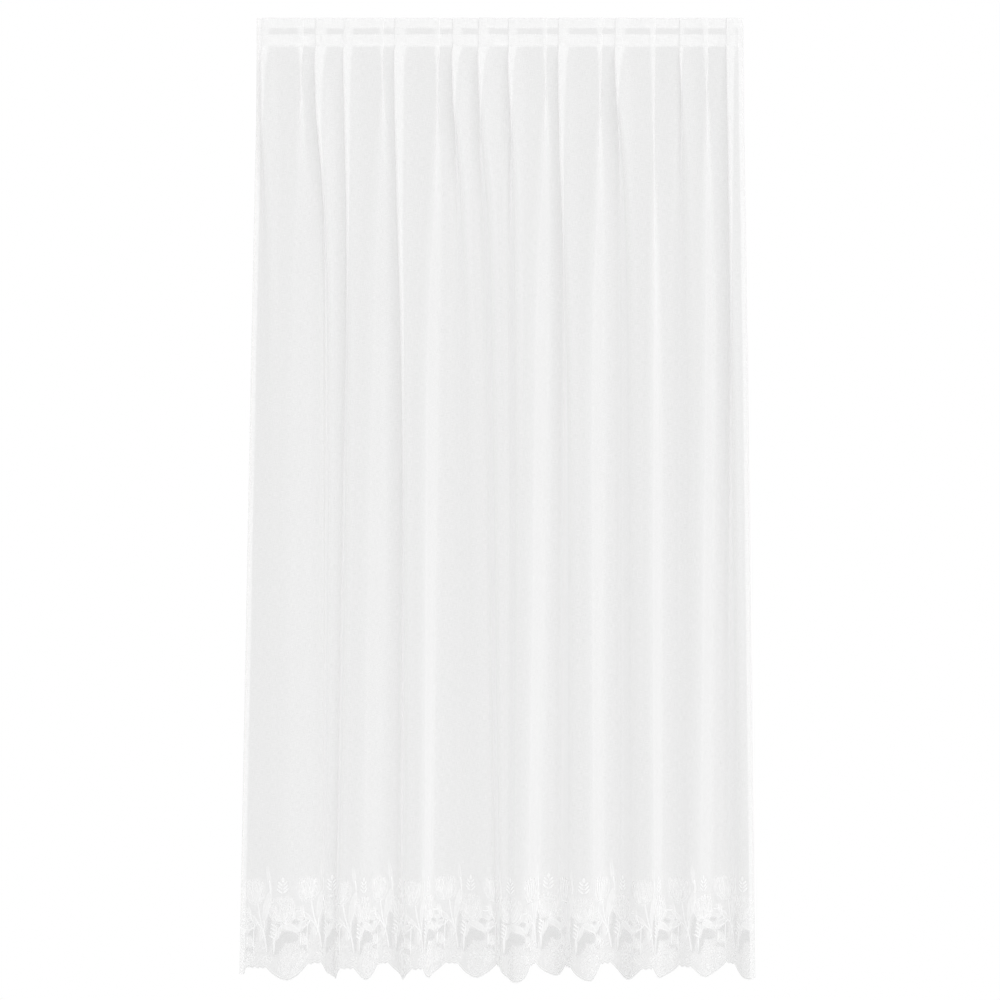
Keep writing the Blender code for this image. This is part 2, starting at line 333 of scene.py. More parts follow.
# %% A table of the whole cloth
BORDER_TOP = 2.090          # below here the rows bend to meet the scallops
HEADING_ROWS, CLOTH_ROWS, BORDER_ROWS = 6, 55, 98
ROW_POWER = 1.5             # above 1, the rows are closer together under the heading
FLAT_STEP = 0.0005
ROW_HEIGHTS = np.concatenate((
    np.linspace(0.0, HEADING, HEADING_ROWS + 1),
    HEADING + (BORDER_TOP - HEADING) * np.linspace(0, 1, CLOTH_ROWS + 1)[1:] ** ROW_POWER,
    np.linspace(BORDER_TOP, DROP_TO_CUSPS, BORDER_ROWS + 1)[1:]))
curves = plan_curves(ROW_HEIGHTS)
even_u = np.arange(0.0, FLAT_WIDTH + FLAT_STEP / 2, FLAT_STEP)
hang_table = np.stack([
    np.stack([np.interp(even_u, curves[0][row], part[row]) for part in curves[1:]])
    for row in range(len(ROW_HEIGHTS))])


def nominal(u, v):
    """The height whose plan curve holds the place u, v: rows in the border are stretched
    to end at the scalloped edge."""
    stretch = (DROP_TO_CUSPS - BORDER_TOP) / (lower_edge(u) - BORDER_TOP)
    return np.where(v > BORDER_TOP, BORDER_TOP + (v - BORDER_TOP) * stretch, v)


def on_cloth(u, v, out):
    """Room places of the flat places u, v, raised by `out` on the viewer's side: the
    table of plan curves, blended between its four nearest entries."""
    u = np.clip(u, 0.0, FLAT_WIDTH)
    height = np.clip(nominal(u, v), 0.0, DROP_TO_CUSPS)
    row = np.clip(np.searchsorted(ROW_HEIGHTS, height) - 1, 0, len(ROW_HEIGHTS) - 2)
    down = (height - ROW_HEIGHTS[row]) / (ROW_HEIGHTS[row + 1] - ROW_HEIGHTS[row])
    col = np.clip((u / FLAT_STEP).astype(int), 0, len(even_u) - 2)
    across = (u - even_u[col]) / FLAT_STEP
    x, y, nx, ny = (
        (hang_table[row, part, col] * (1 - across) + hang_table[row, part, col + 1] * across)
        * (1 - down)
        + (hang_table[row + 1, part, col] * (1 - across)
           + hang_table[row + 1, part, col + 1] * across) * down
        for part in range(4))
    return np.stack((x + out * nx, y + out * ny, -v + 0 * x), axis=-1)


print("table of the cloth:", hang_table.shape)

# %% [markdown]
# ## From arrays to meshes
# Every piece here is one or more grids of points. Modifiers could bend flat pieces along
# the folds, but arrays keep each point tied to its place on the flat cloth. The helpers
# below join the points by quads that face the viewer, and store one UV place for each
# corner.

# %% Quads of a grid


def grid_faces(rows, columns):
    """Quads of a rows by columns grid of points, counterclockwise from the front."""
    index = np.arange(rows * columns).reshape(rows, columns)
    return np.stack((index[:-1, :-1], index[1:, :-1], index[1:, 1:], index[:-1, 1:]),
                    axis=-1).reshape(-1, 4)


print("quads between 3 by 4 points:", len(grid_faces(3, 4)))

# %% A mesh object from arrays


def make_piece(name, points, faces, uv, material):
    """A mesh object from arrays of points, quads and one UV place per point."""
    mesh = bpy.data.meshes.new(name)
    mesh.vertices.add(len(points))
    mesh.vertices.foreach_set("co", np.ascontiguousarray(points, dtype=np.float32).ravel())
    mesh.loops.add(faces.size)
    mesh.loops.foreach_set("vertex_index", faces.ravel().astype(np.int32))
    mesh.polygons.add(len(faces))
    mesh.polygons.foreach_set("loop_start", np.arange(0, faces.size, 4, dtype=np.int32))
    mesh.update(calc_edges=True)
    mesh.validate()
    mesh.polygons.foreach_set("use_smooth", np.ones(len(mesh.polygons), dtype=bool))
    layer = mesh.uv_layers.new(name="flat")
    corner = np.zeros(len(mesh.loops), dtype=np.int32)
    mesh.loops.foreach_get("vertex_index", corner)
    layer.uv.foreach_set("vector", uv[corner].astype(np.float32).ravel())
    mesh.materials.append(material)
    piece = bpy.data.objects.new(name, mesh)
    bpy.context.scene.collection.objects.link(piece)
    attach(piece, "root")
    print(name, len(mesh.polygons), "quads")
    return piece


def add_value(piece, name, values):
    """Stores one number per point, for a material to read."""
    piece.data.attributes.new(name, "FLOAT", "POINT").data.foreach_set(
        "value", values.astype(np.float32).ravel())


# %% [markdown]
# ## Materials of the cloth
# Voile is so thin that light passes between its threads. A mesh of its threads would be
# far too heavy, so each material here mixes a transparent shader, for the gaps, with
# white yarn that both reflects light and lets some through. How much is yarn and how much
# is gap follows a place on the cloth, so the weave goes round every fold.

# %% Small helpers for node trees


def new_material(name):
    """An empty node material and its output."""
    material = bpy.data.materials.new(name)
    material.use_nodes = True
    material.node_tree.nodes.clear()
    return material, material.node_tree.nodes.new("ShaderNodeOutputMaterial")


def add_node(tree, kind, inputs=(), **settings):
    """A node with its settings, and its inputs given as numbers or other sockets."""
    node = tree.nodes.new(kind)
    for key, value in settings.items():
        setattr(node, key, value)
    for socket, value in dict(inputs).items():
        if isinstance(value, bpy.types.NodeSocket):
            tree.links.new(value, node.inputs[socket])
        else:
            node.inputs[socket].default_value = value
    return node


def math(tree, operation, *values):
    """A math node's result."""
    return add_node(tree, "ShaderNodeMath", enumerate(values), operation=operation).outputs[0]


def threads(tree, coordinate, pitch):
    """Threads side by side: |sin| of the place, so 1 on a thread and 0 in a gap."""
    return math(tree, "ABSOLUTE", math(tree, "SINE", math(
        tree, "MULTIPLY", coordinate, np.pi / pitch)))


# %% Yarn and gaps
YARN_WHITE = (0.99, 0.99, 0.99, 1)
YARN_THROUGH = 0.10         # share of the light that passes the yarn itself
YARN_SPECULAR, SHEEN_ROUGH = 0.25, 0.5
BUMP_STRENGTH, BUMP_DEEP = 0.12, 0.0004
FACING_BLEND = 0.5          # with this, Facing is 1 - cos of the angle of view
LEAST_COS = 0.2             # keeps the power of the gaps from growing without end


def white_cloth(tree, output, cover, roughness, sheen, height):
    """White yarn with gaps in it. `cover` is the share of yarn seen square on, and
    `height` the bump. At a glancing angle light meets more yarn: the gaps that are left
    are gaps^(1 / cos)."""
    glance = add_node(tree, "ShaderNodeLayerWeight", {"Blend": FACING_BLEND})
    facing = math(tree, "MAXIMUM", math(tree, "SUBTRACT", 1.0, glance.outputs["Facing"]),
                  LEAST_COS)
    gaps = math(tree, "POWER", math(tree, "SUBTRACT", 1.0, cover),
                math(tree, "DIVIDE", 1.0, facing))
    bump = add_node(tree, "ShaderNodeBump", {
        "Height": height, "Strength": BUMP_STRENGTH, "Distance": BUMP_DEEP}).outputs[0]
    yarn = add_node(tree, "ShaderNodeBsdfPrincipled", {
        "Base Color": YARN_WHITE, "Roughness": roughness, "Sheen Weight": sheen,
        "Sheen Roughness": SHEEN_ROUGH, "Specular IOR Level": YARN_SPECULAR,
        "Normal": bump})
    behind = add_node(tree, "ShaderNodeBsdfTranslucent", {"Color": YARN_WHITE,
                                                          "Normal": bump})
    both = add_node(tree, "ShaderNodeMixShader", {0: YARN_THROUGH, 1: yarn.outputs[0],
                                                  2: behind.outputs[0]})
    gap = add_node(tree, "ShaderNodeBsdfTransparent")
    mixed = add_node(tree, "ShaderNodeMixShader", {0: gaps, 1: both.outputs[0],
                                                   2: gap.outputs[0]})
    tree.links.new(mixed.outputs[0], output.inputs["Surface"])


print("gaps of a half, seen at 60 degrees:", round(0.5 ** (1 / np.cos(np.radians(60))), 2))

# %% Plain weave
WARP_PITCH, WEFT_PITCH = 0.0009, 0.0011


def flat_place(tree):
    """The flat place on the cloth: as one vector, and its u and v."""
    flat = add_node(tree, "ShaderNodeUVMap", uv_map="flat").outputs[0]
    place = add_node(tree, "ShaderNodeSeparateXYZ", {0: flat})
    return flat, place.outputs[0], place.outputs[1]


def plain_weave(tree, u, v):
    """Threads both ways: the mean of the two rows of threads."""
    return math(tree, "MULTIPLY", math(tree, "ADD", threads(tree, u, WARP_PITCH),
                                       threads(tree, v, WEFT_PITCH)), 0.5)


print("threads to a centimetre:", round(0.01 / WARP_PITCH), "by", round(0.01 / WEFT_PITCH))

# %% Slubs and net
SLUB_SCALES = ((60, 1500), (1500, 60))      # noise drawn out along one thread direction
NET_PITCH, NET_THREAD = 0.0024, 0.20        # its thin thread is where |sin| is below it
NET_BETWEEN, NET_ON_THREAD = 0.06, 0.72     # share of yarn between net threads, and on
NET_LINE, NET_LINE_HALF, NET_LINE_OPEN = 0.0040, 0.0012, 0.8    # inside the lower edge


def slubs(tree, flat):
    """Uneven yarn both ways: the mean of two stretched noises."""
    noises = []
    for scale_u, scale_v in SLUB_SCALES:
        stretched = add_node(tree, "ShaderNodeMapping", {"Vector": flat,
                                                         "Scale": (scale_u, scale_v, 1)})
        noises.append(add_node(tree, "ShaderNodeTexNoise", {
            "Vector": stretched.outputs[0], "Scale": 1.0, "Detail": 2.0}).outputs[0])
    return math(tree, "MULTIPLY", math(tree, "ADD", *noises), 0.5)


def net_cover(tree, u, v):
    """Share of yarn in a square net: high on a thread of either direction."""
    lines = [math(tree, "LESS_THAN", threads(tree, place, NET_PITCH), NET_THREAD)
             for place in (u, v)]
    return math(tree, "ADD", NET_BETWEEN, math(
        tree, "MULTIPLY", math(tree, "MAXIMUM", *lines), NET_ON_THREAD - NET_BETWEEN))


def net_share(tree):
    """How far the voile opens to net: in its patches, and along a line near the edge."""
    inset = add_node(tree, "ShaderNodeAttribute", attribute_name="inset").outputs["Fac"]
    off_line = math(tree, "ABSOLUTE", math(tree, "SUBTRACT", inset, NET_LINE))
    in_line = math(tree, "MULTIPLY", math(tree, "LESS_THAN", off_line, NET_LINE_HALF),
                   NET_LINE_OPEN)
    patches = add_node(tree, "ShaderNodeAttribute", attribute_name="net").outputs["Fac"]
    return math(tree, "MAXIMUM", patches, in_line)


print("meshes of net to a centimetre:", round(0.01 / NET_PITCH, 1))

# %% Voile
VOILE_COVER = 0.475         # about the mean share of yarn in plain voile
WEAVE_DEPTH, SLUB_DEPTH = 0.30, 0.34        # how much the weave and the slubs change it
WEAVE_MEAN, SLUB_MEAN = 2 / 3, 0.5          # about the means of |sin| and of noise
VOILE_ROUGH, VOILE_SHEEN = 0.85, 0.25


def make_voile():
    """Fine plain weave with slubs, which opens to a square net in places."""
    material, output = new_material("white_voile")
    tree = material.node_tree
    flat, u, v = flat_place(tree)
    weave = plain_weave(tree, u, v)
    change = math(tree, "ADD", math(tree, "MULTIPLY", weave, WEAVE_DEPTH),
                  math(tree, "MULTIPLY", slubs(tree, flat), SLUB_DEPTH))
    cover = math(tree, "ADD", VOILE_COVER - WEAVE_DEPTH * WEAVE_MEAN
                 - SLUB_DEPTH * SLUB_MEAN, change)
    total = add_node(tree, "ShaderNodeMix", {
        0: net_share(tree), 2: cover, 3: net_cover(tree, u, v)}).outputs[0]
    white_cloth(tree, output, total, VOILE_ROUGH, VOILE_SHEEN, weave)
    return material


voile = make_voile()
print(voile.name, "has", len(voile.node_tree.nodes), "nodes")

# %% [markdown]
# ## Satin for the motifs, and the hems' second layer
# The real petals and leaves are woven more closely than the ground, most of all at their
# rims. They could be painted on the voile through a mask, but as thin pieces of their own
# they also stand up from it and catch the light. Each satin below says how close its
# weave is inside a motif and at its rim. A hem is the same voile a second time.

# %% Satins
RIM_FROM, RIM_TO = 0.35, 0.95               # of the way from a motif's middle to its edge
FLECK_SCALE, FLECK_DEPTH = 900.0, 0.14
SATIN_ROUGH, SATIN_SHEEN = 0.6, 0.3


def make_satin(name, inside, rim, pitch):
    """Satin-woven shapes: their rim is closely woven and their inside less so. v runs
    from 0 to 1 across each shape, so its rim is where |2 v - 1| nears 1."""
    material, output = new_material(name)
    tree = material.node_tree
    across = flat_place(tree)[2]
    from_middle = math(tree, "ABSOLUTE", math(tree, "SUBTRACT", math(
        tree, "MULTIPLY", across, 2.0), 1.0))
    close = add_node(tree, "ShaderNodeMapRange", {
        0: from_middle, 1: RIM_FROM, 2: RIM_TO, 3: inside, 4: rim}).outputs[0]
    solid = add_node(tree, "ShaderNodeTexCoord").outputs["Object"]
    ribs = threads(tree, add_node(tree, "ShaderNodeSeparateXYZ", {0: solid}).outputs[2], pitch)
    fleck = add_node(tree, "ShaderNodeTexNoise", {"Vector": solid, "Scale": FLECK_SCALE})
    cover = math(tree, "ADD", close, math(tree, "MULTIPLY", math(
        tree, "SUBTRACT", fleck.outputs[0], 0.5), FLECK_DEPTH))
    white_cloth(tree, output, cover, SATIN_ROUGH, SATIN_SHEEN, ribs)
    return material


ground_satin = make_satin("ground_satin", 0.10, 0.10, 0.0014)
petal_satin = make_satin("petal_satin", 0.18, 0.46, 0.0014)
rose_satin = make_satin("rose_satin", 0.04, 0.28, 0.0014)
leaf_satin = make_satin("leaf_satin", 0.42, 0.54, 0.0011)
stem_satin = make_satin("stem_satin", 0.68, 0.68, 0.0011)
cord_satin = make_satin("edge_cord", 0.75, 0.75, 0.0008)
sewing = make_satin("sewing_thread", 0.22, 0.22, 0.0008)
print("nodes in one satin:", len(petal_satin.node_tree.nodes))

# %% The second layer of a hem
HEM_LEAST, HEM_WEAVE_DEPTH = 0.44, 0.36     # share of yarn, and what the weave adds


def make_hem_cloth():
    """The second layer of voile in a turned hem: plain weave without slubs."""
    material, output = new_material("hem_voile")
    tree = material.node_tree
    weave = plain_weave(tree, *flat_place(tree)[1:])
    cover = math(tree, "ADD", HEM_LEAST, math(tree, "MULTIPLY", weave, HEM_WEAVE_DEPTH))
    white_cloth(tree, output, cover, VOILE_ROUGH, VOILE_SHEEN, weave)
    return material


hem_voile = make_hem_cloth()
print("materials:", [material.name for material in bpy.data.materials])

# %% [markdown]
# ## The panel
# The panel is one layer of points, close together across the folds. Its rows are close
# together in the border, where the net and the scallops need them, and further apart in
# the plain cloth above. The net's own holes are too fine to cut, so each point stores how
# far the cloth is opened there, and the voile reads that number.

# %% Patches of open net, in millimetres from a cusp and above it
# Each row is an ellipse: along, above, half width, half height, and tilt in degrees.
NET_PATCHES = (
    (92, 74, 28, 14, -14),
    (66, 58, 12, 30, -24),
    (40, 84, 8, 48, -4),
    (66, 109, 9, 5, 16),
    (112, 110, 12, 5, -14),
    (-11, 88, 17, 20, 0),
    (138, 122, 7, 12, 0),
    (148, 81, 4, 18, 0),
    (-22, 46, 7, 7, 0),
    (142, 42, 4, 8, 0),
)
NET_BLUR = 0.18             # of a patch's size: the rim over which it fades out


def open_net(u, v):
    """How far the cloth is opened to net: 1 inside any ellipse and 0 outside all."""
    above = (DROP_TO_CUSPS - v) * 1000
    most = np.zeros_like(u)
    for along, middle, half_wide, half_tall, tilt in NET_PATCHES:
        off = (u - FIRST_CUSP) * 1000 - along
        off = off - REPEAT * 1000 * np.round(off / (REPEAT * 1000))
        turn = np.radians(tilt)
        wide = (off * np.cos(turn) + (above - middle) * np.sin(turn)) / half_wide
        tall = (-off * np.sin(turn) + (above - middle) * np.cos(turn)) / half_tall
        inside = np.clip((1.0 - np.hypot(wide, tall)) / NET_BLUR + 0.5, 0.0, 1.0)
        most = np.maximum(most, inside)
    return most


print("patches of net in each repeat:", len(NET_PATCHES))

# %% Build the panel
panel_u, panel_x, panel_y = (part[:, ::SUBSTEPS] for part in curves[:3])
row_height = ROW_HEIGHTS[:, None] + 0 * panel_u
stretch = (lower_edge(panel_u) - BORDER_TOP) / (DROP_TO_CUSPS - BORDER_TOP)
in_border = BORDER_TOP + (row_height - BORDER_TOP) * stretch
panel_v = np.where(row_height > BORDER_TOP, in_border, row_height)
panel_points = np.stack((panel_x, panel_y, -panel_v), axis=-1).reshape(-1, 3)
panel_uv = np.stack((panel_u, panel_v), axis=-1).reshape(-1, 2)
panel = make_piece("voile_panel", panel_points, grid_faces(*panel_u.shape), panel_uv, voile)
add_value(panel, "net", open_net(panel_u, panel_v))
add_value(panel, "inset", lower_edge(panel_u) - panel_v)

# %% [markdown]
# ## The border's flowers and leaves
# A jacquard loom weaves petals and leaves more closely than the ground, so they look
# whiter. They could be a picture on the cloth, but strokes stay sharp and can be changed
# one by one. A stroke is a bent middle line with a width that swells and closes. A few
# short tables of strokes make one repeat, which is laid along the whole cloth and cut off
# at its sides.

# %% A stroke and its grid
# A row is from_x, from_h, to_x, to_h, bend, wide, full and blunt. The first six are in
# millimetres, x from a cusp and h above it.
ALONG, ACROSS = 12, 4
BASE_LIFT, CROWN = 0.00035, 0.00030         # off the voile, and more along the middle
LAYER, LAYERS = 0.00004, 8                  # strokes that overlap lie at other heights


def stroke_grids(strokes):
    """Grids of along and above, in metres, lift and UV, for rows of strokes.

    The middle line is a quadratic curve whose middle point is pushed to its left by
    `bend`. The half width at s is wide / 2 * sin(pi s^full)^blunt.
    """
    x0, h0, x1, h1, bend, wide, full, blunt = (
        part[:, None] for part in np.array(strokes, dtype=float).T)
    s = np.linspace(0.0, 1.0, ALONG + 1)[None, :]
    long = np.hypot(x1 - x0, h1 - h0)
    left_x, left_h = -(h1 - h0) / long, (x1 - x0) / long
    mid_x, mid_h = (x0 + x1) / 2 + bend * left_x, (h0 + h1) / 2 + bend * left_h
    x = (1 - s) ** 2 * x0 + 2 * s * (1 - s) * mid_x + s ** 2 * x1
    h = (1 - s) ** 2 * h0 + 2 * s * (1 - s) * mid_h + s ** 2 * h1
    dx, dh = np.gradient(x, axis=1), np.gradient(h, axis=1)
    size = np.hypot(dx, dh)
    swell = np.clip(np.sin(np.pi * s ** full), 0.0, 1.0) ** blunt
    t = np.linspace(-1.0, 1.0, ACROSS + 1)[None, None, :]
    reach = (wide / 2 * swell)[:, :, None] * t
    grid_x = x[:, :, None] - (dh / size)[:, :, None] * reach
    grid_h = h[:, :, None] + (dx / size)[:, :, None] * reach
    lift = (BASE_LIFT + LAYER * (np.arange(len(strokes)) % LAYERS)[:, None, None]
            + CROWN * swell[:, :, None] * (1 - t ** 2))
    uv = np.stack((s[:, :, None] + 0 * grid_x, 0.5 + t / 2 + 0 * grid_x), axis=-1)
    return grid_x / 1000, grid_h / 1000, lift, uv


print("quads in one stroke:", ALONG * ACROSS)

# %% Strokes laid on the cloth
FIRST_REPEAT, LAST_REPEAT = -1, 12
EDGE_KEPT = 0.001           # no stroke comes nearer than this to an edge of the panel


def strokes_on_cloth(name, strokes, material):
    """One piece holding every stroke of every repeat, cut off at the panel's edges."""
    x, h, lift, uv = stroke_grids(strokes)
    repeats = np.arange(FIRST_REPEAT, LAST_REPEAT + 1)[:, None, None, None]
    u = FIRST_CUSP + repeats * REPEAT + x[None]
    v = DROP_TO_CUSPS - h[None] + 0 * u
    points = on_cloth(u, v, lift[None] + 0 * u).reshape(-1, 3)
    each = (ALONG + 1) * (ACROSS + 1)
    count = u.size // each
    first = (np.arange(count) * each)[:, None, None]
    faces = (grid_faces(ALONG + 1, ACROSS + 1)[None] + first).reshape(-1, 4)
    inside = (u > EDGE_KEPT) & (u < FLAT_WIDTH - EDGE_KEPT)
    inside = (inside & (v < lower_edge(u) - EDGE_KEPT)).ravel()
    faces = faces[inside[faces].all(axis=1)]
    used, new_index = np.unique(faces, return_inverse=True)
    uv = np.broadcast_to(uv, (len(repeats),) + uv.shape).reshape(-1, 2)
    return make_piece(name, points[used], new_index.reshape(-1, 4), uv[used], material)


print("times that each stroke is laid:", LAST_REPEAT - FIRST_REPEAT + 1)

# %% Petals in rows and rings
FOOT_DIP = 0.10             # of a row's span: how far its outer petals start lower
PETAL_FULL, PETAL_BLUNT, RING_BLUNT = 0.9, 0.55, 0.5
RING_FILL = 0.86            # of a ring: what its petals take up


def petal_row(middle, foot, span, count, long, wide, fan):
    """Petals side by side: their feet are spread over `span` at the height `foot`, and
    the outer ones lean outwards by `fan` degrees."""
    rows = []
    for share in np.linspace(-1, 1, count):
        lean = np.radians(fan * share)
        x, h = middle + span / 2 * share, foot - span * FOOT_DIP * share ** 2
        rows.append((x, h, x + long * np.sin(lean), h + long * np.cos(lean), 0, wide,
                     PETAL_FULL, PETAL_BLUNT))
    return rows


def ring(middle_x, middle_h, radius, count, wide, start, squash=1.0):
    """Petals round a centre: each is an arc, with a gap before the next."""
    rows = []
    half_turn = np.pi / count * RING_FILL
    bend = -2 * radius * (1 - np.cos(half_turn))
    for angle in np.radians(start + np.arange(count) * 360 / count):
        ends = [(middle_x + radius * np.cos(at), middle_h + radius * squash * np.sin(at))
                for at in (angle - half_turn, angle + half_turn)]
        rows.append((*ends[0], *ends[1], bend, wide, 1, RING_BLUNT))
    return rows


def mirrored(strokes, middle):
    """The strokes, then the same strokes reflected in a vertical line."""
    return strokes + [(2 * middle - x0, h0, 2 * middle - x1, h1, -bend, *rest)
                      for x0, h0, x1, h1, bend, *rest in strokes]


print("a row of two petals:", np.round(petal_row(0, 0, 20, 2, 15, 12, 20), 1).tolist())

# %% The tall bloom, the wide bloom and the darker ground behind them
TALL_X, WIDE_X, ROSE_X, ROSE_H = -2, 74, 98, 4
GROUNDS = [(TALL_X, 158, TALL_X, 222, 0, 58, 0.85, 0.35),
           (WIDE_X, 107, WIDE_X, 179, 0, 74, 0.95, 0.4),
           (ROSE_X, -30, ROSE_X, 40, 0, 70, 1, 0.5), (-4, 6, -4, 40, 0, 44, 1, 0.4),
           (34, 4, 34, 34, 0, 36, 1, 0.4), (132, 4, 132, 36, 0, 30, 1, 0.4)]
TALL_BLOOM = (
    petal_row(TALL_X, 206, 38, 4, 18, 12, 12)
    + [(TALL_X, 162, TALL_X, 212, 0, 22, 1.1, 0.6),
       (TALL_X - 18, 160, TALL_X + 18, 160, 0, 4, 1, 0.4)]
    + mirrored([(TALL_X - 6, 161, TALL_X - 24, 220, 15, 20, 0.85, 0.6),
                (TALL_X - 3, 164, TALL_X - 13, 218, 7, 16, 0.9, 0.6)], TALL_X))
WIDE_BLOOM = (
    petal_row(WIDE_X, 164, 48, 5, 15, 12, 18) + petal_row(WIDE_X, 150, 32, 4, 14, 9, 16)
    + [(WIDE_X, 110, WIDE_X, 152, 0, 15, 1.1, 0.6),
       (WIDE_X - 12, 109, WIDE_X + 12, 109, 0, 4, 1, 0.4)]
    + mirrored([(WIDE_X - 5, 111, WIDE_X - 31, 164, 14, 17, 0.9, 0.6),
                (WIDE_X - 3, 112, WIDE_X - 21, 158, 10, 12, 1, 0.6),
                (WIDE_X - 2, 113, WIDE_X - 12, 152, 6, 10, 1.1, 0.6)], WIDE_X))
print("strokes in the two blooms:", len(TALL_BLOOM + WIDE_BLOOM))
grounds = strokes_on_cloth("flower_grounds", GROUNDS, ground_satin)
blooms = strokes_on_cloth("woven_blooms", TALL_BLOOM + WIDE_BLOOM, petal_satin)

# %% The rose and the small flowers below
ROSE = (ring(ROSE_X, ROSE_H, 29, 8, 13, 22, 0.9) + ring(ROSE_X, ROSE_H, 18, 6, 11, 0, 0.9)
        + ring(ROSE_X, ROSE_H, 8, 3, 8, 30) + petal_row(ROSE_X, 38, 46, 5, 18, 13, 26))
SMALL_ROSE = (petal_row(-2, 47, 40, 5, 17, 12, 52) + ring(-2, 46, 6, 3, 6, 90)
              + ring(-12, 20, 11, 4, 8, 20, 0.8)
              + [(14, 12, 44, 24, 5, 13, 1, 0.6), (20, 28, 48, 10, 4, 12, 1, 0.6),
                 (-36, 10, -12, 4, 3, 9, 1, 0.6), (122, 34, 146, 16, 5, 13, 1, 0.6)])
roses = strokes_on_cloth("woven_roses", ROSE + SMALL_ROSE, rose_satin)

# %% Ferns and leaflets
BUD_BELOW, BUD_ABOVE, BUD_WIDE = 3, 10, 7   # round the top of a fern, in millimetres
FERN_TAPER, FERN_RISE, FERN_BEND, FERN_WIDE = 0.35, 0.8, 2, 4.5
LEAFLET_RISE, LEAFLET_BEND, LEAFLET_BLUNT = 0.6, -2, 0.55


def fern(foot_x, foot_h, tall, pairs, long):
    """A bud on top of pairs of leaflets that get shorter towards it."""
    top = foot_h + tall
    rows = [(foot_x, top - BUD_BELOW, foot_x, top + BUD_ABOVE, 0, BUD_WIDE, 1, 0.6)]
    for k in range(pairs):
        h = foot_h + tall * k / pairs
        reach = long * (1 - FERN_TAPER * k / pairs)
        rows += mirrored([(foot_x - 1, h, foot_x - reach, h + reach * FERN_RISE,
                           FERN_BEND, FERN_WIDE, 1, 0.4)], foot_x)
    return rows


def leaflets(x0, h0, x1, h1, count, long, wide):
    """Leaflets on the left of a slanting stem, pointing up and away from it."""
    rows = []
    for share in middles(count):
        x, h = x0 + (x1 - x0) * share, h0 + (h1 - h0) * share
        rows.append((x, h, x - long, h + long * LEAFLET_RISE, LEAFLET_BEND, wide, 1,
                     LEAFLET_BLUNT))
    return rows


print("strokes in a fern of three pairs:", len(fern(0, 0, 30, 3, 15)))

# %% Leaves and stems
LEAVES = (
    leaflets(140, 118, 124, 146, 3, 8, 6)
    + [(24, 106, 45, 194, 4, 19, 1.3, 0.6), (40, 208, 34, 256, -2, 10, 0.8, 0.6),
       (12, 108, -26, 140, 2, 13, 1.1, 0.7), (-12, 120, -33, 122, 6, 11, 1, 0.6),
       (-14, 128, -20, 152, 3, 10, 1, 0.6), (-30, 84, -25, 112, -4, 8, 1, 0.7),
       (14, 96, 17, 62, 3, 8, 1, 0.7), (68, 107, 122, 84, 7, 18, 0.9, 0.6),
       (55, 66, 71, 107, -5, 10, 1.1, 0.6), (124, 82, 143, 110, 5, 16, 1, 0.6),
       (127, 56, 134, 80, 2, 9, 1, 0.6), (145, 56, 137, 78, 2, 8, 1, 0.6),
       (129, 54, 145, 58, -3, 8, 1, 0.6), (98, 110, 112, 142, -5, 7, 1, 0.6)])
STEMS = (
    fern(WIDE_X + 1, 187, 30, 3, 15) + leaflets(53, 68, 60, 106, 4, 14, 4.5) + [
        (7, 163, 16, 114, -1, 4.5, 1, 0.15), (15, 118, 29, 73, 1, 4.5, 1, 0.15),
        (28, 78, 35, 38, 1, 4.5, 1, 0.15), (43, 184, 40, 222, -4, 5, 1, 0.3),
        (28, 118, 21, 70, 3, 3.5, 1, 0.2), (24, 86, 4, 114, -4, 4, 1, 0.2),
        (6, 112, -30, 92, 12, 3.5, 1, 0.2), (53, 32, 54, 76, 0, 6, 1.5, 0.5),
        (54, 70, 61, 108, -2, 3.5, 1, 0.2), (112, 138, 134, 142, -7, 3.5, 1, 0.2),
        (134, 142, 144, 108, -3, 3.5, 1, 0.2), (126, 48, 127, 84, 0, 3, 1, 0.2),
        (146, 34, 148, 110, 3, 3.5, 1, 0.2)])
leaves = strokes_on_cloth("woven_leaves", LEAVES, leaf_satin)
stems = strokes_on_cloth("woven_stems", STEMS, stem_satin)

# %% [markdown]
# ## Edges and hems
# The real scallops end in a fine cord with a second line above it, and the sides and the
# top are turned over, so two layers of voile lie on each other there. A Solidify modifier
# would thicken the whole panel. These are narrow strips instead, worked out on the flat
# cloth and then hung on it, the hems behind the panel and the cord before it.

# %% Strips that follow the cloth
EDGE_POINTS, EDGE_ROWS = 1100, 3
SIDE_INSET = 0.0005         # from the panel's sides
EDGE_LIFT = 0.0004
CORD_INSET, CORD_WIDE = 0.0002, 0.0022
LINE_INSET, LINE_WIDE = 0.0058, 0.0014


def strip(name, u, v, lift, material):
    """A piece from grids of flat places, raised or sunk by `lift`."""
    points = on_cloth(u, v, lift + 0 * u).reshape(-1, 3)
    uv = np.stack((u, v), axis=-1).reshape(-1, 2)
    return make_piece(name, points, grid_faces(*u.shape), uv, material)


def edge_line(inset, wide):
    """Flat places of a line that keeps `inset` above the lower edge."""
    u = np.linspace(SIDE_INSET, FLAT_WIDTH - SIDE_INSET, EDGE_POINTS)[None, :]
    up = 1 - np.linspace(0.0, 1.0, EDGE_ROWS)[:, None]
    return u + 0 * up, lower_edge(u) - inset - wide * up


edge_cord = strip("edge_cord", *edge_line(CORD_INSET, CORD_WIDE), EDGE_LIFT, cord_satin)
edge_second = strip("edge_line", *edge_line(LINE_INSET, LINE_WIDE), EDGE_LIFT, cord_satin)

# %% Turned hems
TOP_INSET, FOLD_INSET, FOOT_INSET = 0.0003, 0.0004, 0.0008  # inside the panel's edges
TOP_SUNK, SIDE_SUNK = -0.0004, -0.0005
TOP_HEM_ROWS, SIDE_HEM_COLUMNS = 5, 4

